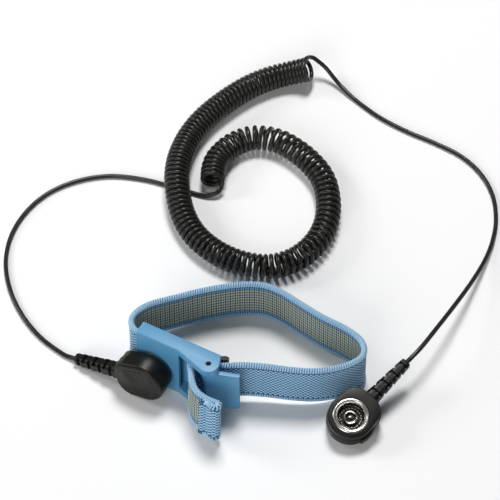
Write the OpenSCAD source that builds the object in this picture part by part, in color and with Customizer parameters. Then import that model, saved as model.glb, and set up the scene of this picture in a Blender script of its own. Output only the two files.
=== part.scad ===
// ESD wrist strap with a cam buckle, a curly ground cord and two snap connectors.
// The strap stands on its edge. The origin is the middle of the buckle's lower
// edge, +X runs along the buckle to its lever end, +Y points to the wrist.

/* [Buckle] */
// Length of the buckle along the band
buckle_len = 32.7; // [32:0.1:34]
// Height of the buckle across the band
buckle_h = 25.5; // [25.3:0.1:27]
// Thickness of the upper and lower walls
cheek_t = 3; // [2.4:0.1:3]
// Thickness of the front and back walls
wall_t = 1.5; // [1.2:0.1:1.6]
// Diameter of the lever's pin
pin_d = 2.1; // [1.8:0.1:2.2]
// Reach of the lever's flap from the pin
flap_reach = 11; // [9:0.5:11]

/* [Band] */
// Width of the elastic band
band_w = 19; // [17:0.5:19]
// Thickness of the elastic band
band_t = 1.8; // [1.4:0.1:1.8]

/* [Snap] */
// Diameter of the press stud's head
stud_d = 9.9; // [9.7:0.05:9.9]
// Diameter of the socket's bore
socket_d = 10.06; // [10:0.01:10.1]

/* [Connector] */
// Radius of the round end of a connector
boot_r = 8.8; // [8.5:0.1:9.2]
// Thickness of a connector
boot_t = 8.2; // [7.8:0.1:8.4]
// Distance from the snap's axis to the tip of the strain relief
reach = 31; // [29:0.5:32]
// Angle of the wrist connector below the horizontal
wrist_dip = 14; // [12:0.5:14]

/* [Cord] */
// Diameter of the wire
wire_d = 1.75; // [1.6:0.05:1.75]
// Outer diameter of the curly part
coil_d = 10; // [9.4:0.1:10]

/* [Hidden] */
$fn = 48;

// Buckle: places in its plan
half_len = buckle_len / 2;
half_depth = 2.85;
channel = half_depth - wall_t;
front_end = 1.6;
pin_at = [14.15, -2.75];
cheek_r = 4;
side_gap = 0.35;
running_gap = 0.05;
flap_angle = 18.4;
flap_t = 1.7;
barrel_r = 2.2;
lobe_r = 1.2;
lobe_out = 1.4;

// Press stud on the buckle, and the snap's axis
stud_at = [-9.3, 9.4];
flange_r = 6.2;
flange_t = 0.5;
neck_r = 4.6;
shank_r = 1.5;
snap_gap = 1.4;
stud_h = 4.2;
plate_t = 0.4;
anchor_x = -1.5;
anchor_r = 0.9;

// Connector: heights are counted down from the mouth of the socket
socket_depth = 3.9;
base_t = 0.5;
rim_r = 6.75;
wall_r = 6;
groove_r = 5.6;
groove_top = 0.2;
groove_low = 0.75;
bore_low = 2.95;
floor_r = 4.2;
ring_wire_r = 0.22;
ring_mid_r = 5.33;
eyelet_r = 2.5;
eyelet_t = 0.3;
eyelet_bore_r = 0.9;
tab_t = 0.4;
cable_z = -boot_t / 2 - 0.4;
root_x = 11.4;
root_r = 2.9;
tip_r = 1.75;
resistor_x = 8.4;
resistor_len = 6.2;
resistor_r = 1.15;
crimp_x = 16;
crimp_len = 4;
crimp_r = 1.3;
wire_gap = 0.03;

// Cord routes: x, y and z of each point that the wire's middle goes through
wire_z = 0.9;
coil_z = 5.05;
lead_a_points = [
    [-46, -8.5, wire_z], [-57, -5.8, wire_z], [-68.5, 0, wire_z], [-79, 8.4, wire_z],
    [-87.5, 19, wire_z], [-92.6, 31, wire_z], [-94, 44, wire_z], [-91.6, 56.5, wire_z],
    [-85, 67.6, wire_z], [-75, 76.2, wire_z], [-62, 81.2, wire_z], [-50, 83.2, wire_z],
    [-39.2, 84.8, wire_z], [-35.8, 85.9, 1.4], [-33.2, 88, 2.6], [-32.6, 91, 4.2]
];
coil_points = [
    [-36.6, 90.4, 5.2], [-39.6, 96.5, coil_z], [-40.6, 102.5, coil_z], [-38.8, 111, coil_z],
    [-33.5, 118, coil_z], [-24.5, 121, coil_z], [-14.5, 119.6, coil_z], [-5.5, 116, coil_z],
    [1.5, 111, coil_z], [7.6, 103, coil_z], [11.6, 94.5, coil_z], [13.3, 86, coil_z],
    [12.8, 78, coil_z], [9.8, 69.8, coil_z], [3.6, 63, coil_z], [-5, 59.6, coil_z],
    [-15, 59, coil_z], [-25, 61.2, coil_z], [-33, 65.4, coil_z], [-39.6, 71, 5.7],
    [-44.6, 77, 6.7], [-48.9, 83.6, 7], [-52.2, 90.5, 6.6], [-54.6, 98, 5.7],
    [-56, 106, coil_z], [-56, 114, coil_z], [-54.6, 123, coil_z], [-52, 132, coil_z],
    [-48.4, 141, coil_z], [-43.6, 148.8, coil_z], [-38.8, 154, 5.3], [-34.2, 157.1, 6.6],
    [-30.6, 158.4, 8.4]
];
lead_b_points = [
    [-33.2, 161.4, 11], [-32, 163.6, 9.7], [-29.2, 164.3, 7.8], [-26.2, 164.4, 5.8],
    [-22.4, 163.4, 3.6], [-17.5, 161.6, 1.9], [-9.5, 158.6, wire_z], [3, 155, wire_z],
    [16, 153.5, wire_z], [29, 153.3, wire_z], [41, 152, wire_z], [52, 147.3, wire_z],
    [61, 139.4, wire_z], [67.4, 129, wire_z], [71, 118.5, 1.1], [73.2, 107, 2.6],
    [74.5, 93, 5.7], [75.1, 78, 9.2], [75.1, 64, 11.9], [74.4, 51.5, 12.7]
];

// Ground connector: middle of its mouth, and how it leans on its back edge
ground_at = [65.4, 11.8, 10.05];
ground_turn = [14, -11, 75];

// Band route: x, y, height of the lower edge, and how far that edge stands out
band_low = 3.25;
band_points = [
    [-1, 0.2, band_low, 0], [-8.5, 0.2, band_low, 0], [-15.6, 0.2, band_low, 0],
    [-20.1, 1.4, 3, 0], [-22.9, 5, 2.4, 0], [-23.2, 9.8, 1.9, 0],
    [-20.9, 15.6, 1.3, 0], [-15, 22.8, 0.7, 0], [-6.6, 32.2, 0.2, 0],
    [2.6, 40.2, 0, 0], [10.5, 44.4, 0, 0], [18.2, 45, 0, 0],
    [26.5, 43.6, 0, 0], [36.6, 41.9, 0, 0], [46.8, 41.2, 0, 0],
    [53.6, 39.6, 0, 0], [57.8, 36.2, 0.1, 0], [58.9, 31.4, 0.4, 0],
    [56.2, 25.6, 0.9, 0], [51.8, 20.4, 1.4, 0], [46.4, 16.2, 1.9, 0],
    [39.2, 12.6, 2.4, 0], [31.2, 9.3, 2.9, 0], [24.4, 6, band_low, 0],
    [18.8, 2.7, band_low, 0], [14.2, 0.7, band_low, 0], [9.8, 0.4, band_low, 0],
    [7.3, -0.5, band_low, 0], [6.4, -2.3, band_low, 0], [7.5, -4.4, band_low, 0],
    [9, -6.6, 3.1, -0.4], [11, -9.3, 2.7, -0.9], [14.2, -12, 2.2, -1.3],
    [17.8, -13.4, 1.7, -1.6], [21.4, -14.2, 1.4, -1.8], [24.8, -14.2, 1.2, -1.8]
];
pinch_t = 1.2;
pinch_span = 4.4;
hem_t = 1.5;
hem_gap = 0.05;
band_steps = 3;
hem_from = 32;

// A smooth curve through the points of p, with n steps between neighbours
function between(a, b, c, d, t) =
    0.5 * (2 * b + (c - a) * t + (2 * a - 5 * b + 4 * c - d) * t * t
    + (3 * b - a - 3 * c + d) * t * t * t);
function smooth(p, n) = [
    for (i = [0:len(p) - 2])
        for (k = [0:n - 1])
            between(p[max(i - 1, 0)], p[i], p[i + 1], p[min(i + 2, len(p) - 1)], k / n),
    p[len(p) - 1]
];

function unit(v) = v / norm(v);
function heading(p, i) = unit(p[min(i + 1, len(p) - 1)] - p[max(i - 1, 0)]);

// One round section of a cord at point i of its path
function round_ring(p, i, r, sides) =
    let (t = heading(p, i), side = unit(cross(t, [0, 0, 1])), rise = cross(side, t))
    [for (k = [0:sides - 1])
        p[i] + r * cos(360 * k / sides) * side + r * sin(360 * k / sides) * rise];

// Thickness of the band, which the cam squeezes at the pin
function squeeze(at) = max(0, 1 - norm([at.x, at.y] - [pin_at.x, 0.7]) / pinch_span);
function thickness(at) = band_t - (band_t - min(pinch_t, band_t)) * min(1, 2 * squeeze(at));

// One upright rectangular section of the band, off mm to the left of its route
function band_ring(p, i, off, t) =
    let (h = heading([for (q = p) [q.x, q.y]], i), left = [-h.y, h.x, 0],
        low = [p[i].x, p[i].y, p[i][2]] + (off + p[i][3]) * left,
        high = [p[i].x, p[i].y, p[i][2] + band_w] + off * left)
    [low - left * t / 2, low + left * t / 2, high + left * t / 2, high - left * t / 2];

// A point given in a connector's own frame, turned by its three angles
function tilted(v, a) =
    let (x = [v.x, v.y * cos(a.x) - v.z * sin(a.x), v.y * sin(a.x) + v.z * cos(a.x)],
        y = [x.x * cos(a.y) + x.z * sin(a.y), x.y, x.z * cos(a.y) - x.x * sin(a.y)])
    [y.x * cos(a.z) - y.y * sin(a.z), y.x * sin(a.z) + y.y * cos(a.z), y.z];

// Places on the two strain reliefs' axes, d mm from the snap's axis
wrist_mouth_y = -half_depth - snap_gap;
function wrist_axis(d) =
    [stud_at.x - d * cos(wrist_dip), wrist_mouth_y + cable_z, stud_at.y - d * sin(wrist_dip)];
function ground_axis(d) = ground_at + tilted([d, 0, cable_z], ground_turn);

wire_start = crimp_x + crimp_len / 2;
straight_out = 3;
lead_a_route = concat(
    [for (d = [wire_start, reach, reach + straight_out]) wrist_axis(d)], lead_a_points);
lead_b_route = concat(
    lead_b_points, [for (d = [reach + straight_out, reach, wire_start]) ground_axis(d)]);

// ---- helpers -------------------------------------------------------------

// A closed solid through a list of rings that all have the same number of points
module swept(rings) {
    n = len(rings[0]);
    last = (len(rings) - 1) * n;
    sides = [
        for (i = [0:len(rings) - 2])
            for (k = [0:n - 1])
                let (a = i * n + k, b = i * n + (k + 1) % n)
                each [[a, b, b + n], [a, b + n, a + n]]
    ];
    ends = [[for (k = [n - 1:-1:0]) k], [for (k = [0:n - 1]) last + k]];
    polyhedron(points = [for (r = rings) each r], faces = concat(sides, ends));
}

module cord(route, r, steps, sides) {
    path = smooth(route, steps);
    swept([for (i = [0:len(path) - 1]) round_ring(path, i, r, sides)]);
}

// Parts of a snap are drawn with their axis on Z, and put on the buckle's face
module on_buckle(y) {
    translate([stud_at.x, y, stud_at.y]) rotate([90, 0, 0]) children();
}

// Connector parts are drawn mouth up with the cable along +X
module at_wrist() {
    translate([stud_at.x, wrist_mouth_y, stud_at.y])
        rotate([0, -wrist_dip, 0])
            rotate([-90, 0, 0])
                rotate([0, 0, 180])
                    children();
}

module at_ground() {
    translate(ground_at) rotate(ground_turn) children();
}

// ---- strap ---------------------------------------------------------------

module cheek_outline() {
    polygon([
        [-half_len, -half_depth], [front_end, -half_depth], [12.8, -6.5], pin_at,
        [17.6, -0.7], [half_len, half_depth], [-half_len, half_depth]
    ]);
    translate(pin_at) circle(r = cheek_r);
}

module buckle_frame() {
    color("steelblue")
        difference() {
            union() {
                linear_extrude(cheek_t) cheek_outline();
                translate([0, 0, buckle_h - cheek_t]) linear_extrude(cheek_t) cheek_outline();
                translate([-half_len, -half_depth, 0])
                    cube([half_len + front_end, wall_t, buckle_h]);
                linear_extrude(buckle_h)
                    polygon([
                        [-half_len, channel], [13.4, channel], [15.2, 2.3],
                        [15.2, half_depth], [-half_len, half_depth]
                    ]);
            }
            translate([pin_at.x, pin_at.y, -1]) cylinder(d = pin_d, h = buckle_h + 2);
            on_buckle(half_depth + 1) cylinder(r = shank_r, h = 2 * half_depth + 2);
            for (z = [band_low + 3, band_low + band_w - 3])
                translate([anchor_x, half_depth - 0.5, z])
                    rotate([90, 0, 0]) cylinder(r = anchor_r, h = 2 * half_depth - 1);
        }
}

module cam_lever() {
    color("cornflowerblue")
        translate([pin_at.x, pin_at.y, cheek_t + side_gap])
            difference() {
                linear_extrude(buckle_h - 2 * (cheek_t + side_gap))
                    union() {
                        circle(r = barrel_r);
                        translate([0, lobe_out]) circle(r = lobe_r);
                        rotate(flap_angle) {
                            translate([0, -0.2 - flap_t]) square([flap_reach, flap_t]);
                            translate([flap_reach, -0.2 - flap_t / 2]) circle(d = flap_t);
                        }
                    }
                translate([0, 0, -1]) cylinder(r = pin_d / 2 + running_gap, h = buckle_h);
            }
}

module cam_pin() {
    color("gray")
        translate([pin_at.x, pin_at.y, 0.4]) cylinder(d = pin_d, h = buckle_h - 0.8);
}

module guide_bar() {
    color("black")
        translate([0, 0, cheek_t])
            linear_extrude(buckle_h - 2 * cheek_t)
                polygon([
                    [15.2, 2.5], [16.8, 3.1], [18.2, 4],
                    [18.2, 5.4], [16.8, 5.4], [15.2, 4.3]
                ]);
}

module contact_plate() {
    plate_x = [-14.6, 13.6];
    plate_z = [3, buckle_h - 3];
    corner = 2;
    color("silver")
        translate([0, half_depth + plate_t, 0])
            rotate([90, 0, 0])
                difference() {
                    linear_extrude(plate_t) {
                        translate([plate_x[0], plate_z[0] + corner])
                            square([plate_x[1] - plate_x[0], plate_z[1] - plate_z[0] - 2 * corner]);
                        translate([plate_x[0] + corner, plate_z[0]])
                            square([plate_x[1] - plate_x[0] - 2 * corner, plate_z[1] - plate_z[0]]);
                        for (x = [plate_x[0] + corner, plate_x[1] - corner])
                            for (z = [plate_z[0] + corner, plate_z[1] - corner])
                                translate([x, z]) circle(r = corner);
                    }
                    translate([stud_at.x, stud_at.y, -1]) cylinder(r = shank_r, h = 3);
                }
}

module press_stud() {
    color("silver")
        on_buckle(-half_depth)
            difference() {
                rotate_extrude()
                    polygon([
                        [shank_r, 0], [flange_r, 0], [flange_r, flange_t], [neck_r, flange_t],
                        [neck_r, 1.7], [stud_d / 2, 2.2], [stud_d / 2, 3.5], [4.3, stud_h],
                        [3.2, stud_h], [3, 1.4], [shank_r, 1.4]
                    ]);
            }
}

module stud_rivet() {
    head_r = 3;
    color("lightgray")
        on_buckle(half_depth + plate_t)
            rotate_extrude()
                polygon([
                    [0, -0.7], [1.6, -0.65], [head_r, -0.25], [head_r, 0], [shank_r, 0],
                    [shank_r, 2 * half_depth + plate_t + 1.4],
                    [2.2, 2 * half_depth + plate_t + 1.4],
                    [2.2, 2 * half_depth + plate_t + 1.8], [0, 2 * half_depth + plate_t + 1.8]
                ]);
}

module anchor_pins() {
    color("gray")
        for (z = [band_low + 3, band_low + band_w - 3])
            translate([anchor_x, half_depth - 0.5, z])
                rotate([90, 0, 0]) cylinder(r = anchor_r, h = 2 * half_depth - 1);
}

module wrist_band() {
    path = smooth(band_points, band_steps);
    color("royalblue")
        difference() {
            swept([for (i = [0:len(path) - 1]) band_ring(path, i, 0, thickness(path[i]))]);
            on_buckle(half_depth) cylinder(r = shank_r, h = 2 * half_depth);
            for (z = [band_low + 3, band_low + band_w - 3])
                translate([anchor_x, half_depth, z])
                    rotate([90, 0, 0]) cylinder(r = anchor_r, h = 2 * half_depth);
        }
}

// The end of the tail is folded back on its lining side
module band_hem() {
    path = smooth(band_points, band_steps);
    off = -(band_t + hem_t) / 2 - hem_gap;
    color("royalblue")
        swept([for (i = [hem_from * band_steps:len(path) - 1]) band_ring(path, i, off, hem_t)]);
}

// ---- connectors ----------------------------------------------------------

module boot_outline(shrink) {
    intersection() {
        union() {
            circle(r = boot_r - shrink);
            polygon([
                [0, boot_r - shrink], [6.6, 8.3 - shrink], [9.4 - shrink / 2, 7 - shrink],
                [root_x - shrink, 3.2], [root_x - shrink, -3.2],
                [9.4 - shrink / 2, shrink - 7], [6.6, shrink - 8.3], [0, shrink - boot_r]
            ]);
        }
        square(3 * boot_r, center = true);
    }
}

module boot() {
    bevel = 1;
    difference() {
        union() {
            translate([0, 0, -boot_t + bevel]) linear_extrude(boot_t - bevel) boot_outline(0);
            translate([0, 0, -boot_t]) linear_extrude(bevel) boot_outline(bevel);
        }
        translate([0, 0, -socket_depth - 0.1]) cylinder(r = rim_r + 0.1, h = boot_t);
        translate([0, 0, -boot_t + 1.6]) cylinder(r = 3.4, h = boot_t);
        translate([0, 0, cable_z]) rotate([0, 90, 0]) cylinder(r = 1.6, h = root_x + 1);
    }
}

module strain_relief() {
    slots = 4;
    slot_w = 1.4;
    pitch = (reach - root_x - 2.6) / slots;
    translate([0, 0, cable_z])
        rotate([0, 90, 0])
            difference() {
                translate([0, 0, root_x]) cylinder(r1 = root_r, r2 = tip_r, h = reach - root_x);
                cylinder(r = 1.4, h = crimp_x + crimp_len);
                cylinder(r = wire_d / 2 + wire_gap, h = reach + 1);
                for (i = [0:slots - 1])
                    for (side = [-1, 1])
                        translate([-4, side * 2.9 - 1.5, root_x + 2.6 + i * pitch])
                            cube([8, 3, slot_w]);
            }
}

module socket() {
    rotate_extrude()
        polygon([
            [eyelet_bore_r + 0.6, -socket_depth], [wall_r, -socket_depth], [wall_r, -0.6],
            [rim_r, -0.6], [rim_r, 0.1], [socket_d / 2, 0.1], [socket_d / 2, -groove_top],
            [groove_r, -groove_top], [groove_r, -groove_low], [socket_d / 2, -groove_low],
            [socket_d / 2, -bore_low], [floor_r, base_t - socket_depth],
            [eyelet_bore_r + 0.6, base_t - socket_depth]
        ]);
}

module snap_ring() {
    translate([0, 0, -(groove_top + groove_low) / 2])
        rotate_extrude() translate([ring_mid_r, 0]) circle(r = ring_wire_r);
}

module eyelet() {
    tube_r = eyelet_bore_r + 0.6;
    top = base_t - socket_depth;
    low = -socket_depth - tab_t;
    rotate_extrude()
        polygon([
            [eyelet_bore_r, low - eyelet_t], [eyelet_r, low - eyelet_t], [eyelet_r, low],
            [tube_r, low], [tube_r, top], [eyelet_r, top], [eyelet_r, top + eyelet_t],
            [eyelet_bore_r, top + eyelet_t]
        ]);
}

// A flat ring under the socket with a tongue to the cable, end is the tongue's tip
module terminal(end) {
    translate([0, 0, -socket_depth - tab_t])
        linear_extrude(tab_t)
            difference() {
                union() {
                    circle(r = 3.1);
                    translate([0, -0.8]) square([end, 1.6]);
                }
                circle(r = eyelet_bore_r + 0.6);
            }
}

module crimp() {
    translate([crimp_x, 0, cable_z])
        rotate([0, 90, 0])
            difference() {
                cylinder(r = crimp_r, h = crimp_len);
                translate([0, 0, crimp_len / 2]) cylinder(r = wire_d / 2 + wire_gap, h = crimp_len);
                translate([0, 0, -1]) cylinder(r = 0.3, h = crimp_len);
            }
}

module resistor() {
    lead_r = 0.25;
    translate([resistor_x, 0, cable_z])
        rotate([0, 90, 0]) {
            cylinder(r = resistor_r, h = resistor_len);
            translate([0, 0, -1]) cylinder(r = lead_r, h = crimp_x + crimp_len / 2 - resistor_x);
        }
}

module wrist_boot() { color("black") at_wrist() boot(); }
module wrist_strain_relief() { color("black") at_wrist() strain_relief(); }
module wrist_socket() { color("silver") at_wrist() socket(); }
module wrist_snap_ring() { color("gray") at_wrist() snap_ring(); }
module wrist_eyelet() { color("silver") at_wrist() eyelet(); }
module wrist_terminal() { color("gold") at_wrist() terminal(resistor_x - 1); }
module safety_resistor() { color("tan") at_wrist() resistor(); }
module wrist_crimp() { color("silver") at_wrist() crimp(); }

module ground_boot() { color("black") at_ground() boot(); }
module ground_strain_relief() { color("black") at_ground() strain_relief(); }
module ground_socket() { color("silver") at_ground() socket(); }
module ground_snap_ring() { color("gray") at_ground() snap_ring(); }
module ground_eyelet() { color("silver") at_ground() eyelet(); }
module ground_terminal() { color("gold") at_ground() terminal(crimp_x); }
module ground_crimp() { color("silver") at_ground() crimp(); }

// ---- cord ----------------------------------------------------------------

module wrist_lead() { color("dimgray") cord(lead_a_route, wire_d / 2, 2, 8); }
module curly_cord() { color("dimgray") cord(coil_points, coil_d / 2, 1, 8); }
module ground_lead() { color("dimgray") cord(lead_b_route, wire_d / 2, 2, 8); }

buckle_frame();
cam_lever();
cam_pin();
guide_bar();
contact_plate();
press_stud();
stud_rivet();
anchor_pins();
wrist_band();
band_hem();
wrist_boot();
wrist_strain_relief();
wrist_socket();
wrist_snap_ring();
wrist_eyelet();
wrist_terminal();
safety_resistor();
wrist_crimp();
ground_boot();
ground_strain_relief();
ground_socket();
ground_snap_ring();
ground_eyelet();
ground_terminal();
ground_crimp();
wrist_lead();
curly_cord();
ground_lead();
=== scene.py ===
import math
import bpy
import bmesh
from mathutils import Euler, Matrix, Vector


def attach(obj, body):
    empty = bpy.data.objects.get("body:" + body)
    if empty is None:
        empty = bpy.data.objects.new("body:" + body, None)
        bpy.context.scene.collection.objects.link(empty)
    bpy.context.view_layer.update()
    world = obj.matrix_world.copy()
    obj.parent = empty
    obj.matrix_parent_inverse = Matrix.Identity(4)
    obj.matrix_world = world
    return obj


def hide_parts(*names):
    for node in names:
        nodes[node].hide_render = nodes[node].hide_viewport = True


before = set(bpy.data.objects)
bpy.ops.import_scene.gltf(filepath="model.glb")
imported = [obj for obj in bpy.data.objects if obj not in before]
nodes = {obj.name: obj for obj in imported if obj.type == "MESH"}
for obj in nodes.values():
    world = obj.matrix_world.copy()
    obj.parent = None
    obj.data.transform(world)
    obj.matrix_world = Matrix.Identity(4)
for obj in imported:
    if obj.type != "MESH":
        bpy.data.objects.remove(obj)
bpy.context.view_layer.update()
mm = 0.001  # the numbers below are in millimetres, the scene is in metres


# Small helpers

def linearColour(hexColour):
    # sRGB hex to the linear values that the shaders use
    parts = [int(hexColour[i:i + 2], 16) / 255 for i in (1, 3, 5)]
    linear = [c / 12.92 if c <= 0.04045 else ((c + 0.055) / 1.055) ** 2.4 for c in parts]
    return (*linear, 1.0)


def addNode(tree, kind, settings=None, inputs=None):
    # adds one shader node; an input takes a plain value or another node's socket
    node = tree.nodes.new("ShaderNode" + kind)
    for name, value in (settings or {}).items():
        setattr(node, name, value)
    for name, value in (inputs or {}).items():
        if isinstance(value, bpy.types.NodeSocket):
            tree.links.new(value, node.inputs[name])
        else:
            node.inputs[name].default_value = value
    return node


def newMaterial(name, shader):
    # an empty material with one Principled shader, whose plain values are given
    material = bpy.data.materials.new(name)
    material.use_nodes = True
    tree = material.node_tree
    tree.nodes.clear()
    surface = addNode(tree, "BsdfPrincipled", inputs=shader)
    addNode(tree, "OutputMaterial", inputs={"Surface": surface.outputs["BSDF"]})
    return material, tree, surface


def smoothShade(mesh, angle):
    # smooth faces, with the edges sharper than the angle kept crisp
    mesh.shade_smooth()
    mesh.set_sharp_from_angle(angle=math.radians(angle))


def closeHoles(bm):
    bmesh.ops.holes_fill(bm, edges=[e for e in bm.edges if e.is_boundary], sides=0)


def vertsIn(geometry):
    return [v for v in geometry if isinstance(v, bmesh.types.BMVert)]


def finishPiece(name, bm, material, body, smoothAngle=35):
    # turns the mesh in millimetres into an object in metres that moves with its body
    bmesh.ops.scale(bm, vec=(mm, mm, mm), verts=bm.verts)
    bmesh.ops.recalc_face_normals(bm, faces=bm.faces)
    mesh = bpy.data.meshes.new(name)
    bm.to_mesh(mesh)
    bm.free()
    mesh.materials.append(material)
    smoothShade(mesh, smoothAngle)
    piece = bpy.data.objects.new(name, mesh)
    bpy.context.scene.collection.objects.link(piece)
    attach(piece, body)
    return piece


def coat(nodeName, material):
    # a CAD node keeps its shape and gets a finished material
    slots = nodes[nodeName].material_slots
    for slot in slots:
        slot.material = material
    if not slots:
        nodes[nodeName].data.materials.append(material)


def catmullRom(points, steps):
    # a smooth curve through the points, with the same number of steps between neighbours
    path = []
    for i in range(len(points) - 1):
        a, b = points[max(i - 1, 0)], points[i]
        c, d = points[i + 1], points[min(i + 2, len(points) - 1)]
        for k in range(steps):
            t = k / steps
            path.append(0.5 * (2 * b + (c - a) * t + (2 * a - 5 * b + 4 * c - d) * t * t
                               + (3 * b - a - 3 * c + d) * t ** 3))
    path.append(points[-1].copy())
    return path


def measure(path):
    # the distance along the path at each of its points
    along = [0.0]
    for a, b in zip(path, path[1:]):
        along.append(along[-1] + (b - a).length)
    return along


def resample(path, along, distances):
    # points of the path at the given rising distances
    found, i = [], 0
    for d in distances:
        while i < len(along) - 2 and along[i + 1] < d:
            i += 1
        span = max(along[i + 1] - along[i], 1e-9)
        found.append(path[i].lerp(path[i + 1], min(max((d - along[i]) / span, 0), 1)))
    return found


# Camera: far off with a long lens, 50 degrees above the table

view = {
    "place": (0.3641, -0.6048, 0.9193),
    "aim": (-0.009, 0.0703, 0.0),
    "lens": 224.64,
    "sensor": 36.0,
}

camera = bpy.data.objects.new("camera", bpy.data.cameras.new("camera"))
bpy.context.scene.collection.objects.link(camera)
camera.location = view["place"]
lookAlong = Vector(view["aim"]) - Vector(view["place"])
camera.rotation_euler = lookAlong.to_track_quat("-Z", "Y").to_euler()
camera.data.lens = view["lens"]
camera.data.sensor_width = view["sensor"]
camera.data.clip_end = 20
bpy.context.scene.camera = camera
print("camera set")


# Where the two snap connectors are: mouth up and cable along +X in their own frame

connector = {
    "studX": -9.3, "studZ": 9.4, "mouthY": -4.25, "dip": 14.0,
    "groundAt": (65.4, 11.8, 10.05), "groundTurn": (14.0, -11.0, 75.0),
    "bootRadius": 8.8, "bootThickness": 8.2, "cableZ": -4.5,
    "rootX": 11.4, "rootRadius": 2.9, "reach": 31.0, "tipRadius": 1.75,
    "crimpX": 16.0, "straightOut": 3.0,
}

wristPlace = (
    Matrix.Translation((connector["studX"], connector["mouthY"], connector["studZ"]))
    @ Matrix.Rotation(math.radians(-connector["dip"]), 4, "Y")
    @ Matrix.Rotation(math.radians(-90), 4, "X")
    @ Matrix.Rotation(math.radians(180), 4, "Z")
)
groundPlace = (
    Matrix.Translation(connector["groundAt"])
    @ Euler([math.radians(a) for a in connector["groundTurn"]], "XYZ").to_matrix().to_4x4()
)


# Cord: a smooth lead, a left-handed curly part and a second lead, in one piece

cord = {
    "wireDiameter": 1.75,
    "coilRadius": 4.12,  # to the middle of the wire
    "startFlare": 0.3, "endFlare": 0.9,  # how much wider the first and last turns are
    "startPhase": -90.0, "endPhase": 58.0,  # degrees past the top of the curly part
    "pointsPerTurn": 36,
    "pitch": [(0, 2.1), (0.06, 2.3), (0.13, 2.8), (0.3, 2.75), (0.45, 2.5),
              (0.6, 2.3), (0.75, 2.15), (1, 1.95)],
}

wireZ, coilZ = 0.9, 5.05
leadAPoints = [
    (-46, -8.5, wireZ), (-57, -5.8, wireZ), (-68.5, 0, wireZ), (-79, 8.4, wireZ),
    (-87.5, 19, wireZ), (-92.6, 31, wireZ), (-94, 44, wireZ), (-91.6, 56.5, wireZ),
    (-85, 67.6, wireZ), (-75, 76.2, wireZ), (-62, 81.2, wireZ), (-50, 83.2, wireZ),
    (-39.2, 84.8, wireZ), (-35.8, 85.9, 1.4), (-33.2, 88, 2.6), (-32.6, 91, 4.2),
]
coilPoints = [
    (-36.6, 90.4, 5.2), (-39.6, 96.5, coilZ), (-40.6, 102.5, coilZ), (-38.8, 111, coilZ),
    (-33.5, 118, coilZ), (-24.5, 121, coilZ), (-14.5, 119.6, coilZ), (-5.5, 116, coilZ),
    (1.5, 111, coilZ), (7.6, 103, coilZ), (11.6, 94.5, coilZ), (13.3, 86, coilZ),
    (12.8, 78, coilZ), (9.8, 69.8, coilZ), (3.6, 63, coilZ), (-5, 59.6, coilZ),
    (-15, 59, coilZ), (-25, 61.2, coilZ), (-33, 65.4, coilZ), (-39.6, 71, 5.7),
    (-44.6, 77, 6.7), (-48.9, 83.6, 7), (-52.2, 90.5, 6.6), (-54.6, 98, 5.7),
    (-56, 106, coilZ), (-56, 114, coilZ), (-54.6, 123, coilZ), (-52, 132, coilZ),
    (-48.4, 141, coilZ), (-43.6, 148.8, coilZ), (-38.8, 154, 5.3), (-34.2, 157.1, 6.6),
    (-30.6, 158.4, 8.4),
]
leadBPoints = [
    (-33.2, 161.4, 11), (-32, 163.6, 9.7), (-29.2, 164.3, 7.8), (-26.2, 164.4, 5.8),
    (-22.4, 163.4, 3.6), (-17.5, 161.6, 1.9), (-9.5, 158.6, wireZ), (3, 155, wireZ),
    (16, 153.5, wireZ), (29, 153.3, wireZ), (41, 152, wireZ), (52, 147.3, wireZ),
    (61, 139.4, wireZ), (67.4, 129, wireZ), (71, 118.5, 1.1), (73.2, 107, 2.6),
    (74.5, 93, 5.7), (75.1, 78, 9.2), (75.1, 64, 11.9), (74.4, 51.5, 12.7),
]


def pitchAt(fraction):
    table = cord["pitch"]
    for (a, low), (b, high) in zip(table, table[1:]):
        if fraction <= b:
            return low + (high - low) * (fraction - a) / (b - a)
    return table[-1][1]


def cableAxis(place, x):
    # a point on the middle line of a connector's cable
    return place @ Vector((x, 0, connector["cableZ"]))


def curlyPart():
    middle = catmullRom([Vector(p) for p in coilPoints], 8)
    along = measure(middle)
    total = along[-1]
    step = 0.5
    angles, distances = [0.0], [0.0]
    while distances[-1] < total:  # the turns gather where the pitch is small
        distances.append(distances[-1] + step)
        angles.append(angles[-1] + 360 * step / pitchAt(min(distances[-1] / total, 1)))
    sweep = cord["endPhase"] - cord["startPhase"]
    turns = round((angles[-1] - sweep) / 360)
    fit = (360 * turns + sweep) / angles[-1]
    count = turns * cord["pointsPerTurn"]
    wanted, i = [], 0
    for k in range(count + 1):
        angle = angles[-1] * k / count
        while i < len(angles) - 2 and angles[i + 1] < angle:
            i += 1
        wanted.append(distances[i] + step * (angle - angles[i]) / (angles[i + 1] - angles[i]))
    wanted = [min(d, total) for d in wanted]
    centres = resample(middle, along, wanted)
    ahead = resample(middle, along, [min(d + 1.5, total) for d in wanted])
    behind = resample(middle, along, [max(d - 1.5, 0) for d in wanted])
    helix = []
    for k, centre in enumerate(centres):
        heading = (ahead[k] - behind[k]).normalized()
        right = heading.cross(Vector((0, 0, 1))).normalized()
        up = right.cross(heading)
        phase = math.radians(cord["startPhase"] + fit * angles[-1] * k / count)
        fromStart, fromEnd = k / cord["pointsPerTurn"], (count - k) / cord["pointsPerTurn"]
        radius = (cord["coilRadius"] + cord["startFlare"] * max(0, 1 - fromStart / 0.3)
                  + cord["endFlare"] * max(0, 1 - fromEnd / 0.6))
        helix.append(centre + radius * (math.cos(phase) * up - math.sin(phase) * right))
    return helix, turns


def easeJoin(path, middle, reach, passes):
    # rounds off the change from a lead to the curly part
    for _ in range(passes):
        for i in range(max(1, middle - reach), min(len(path) - 1, middle + reach)):
            path[i] = path[i].lerp((path[i - 1] + path[i + 1]) / 2, 0.5)


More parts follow.
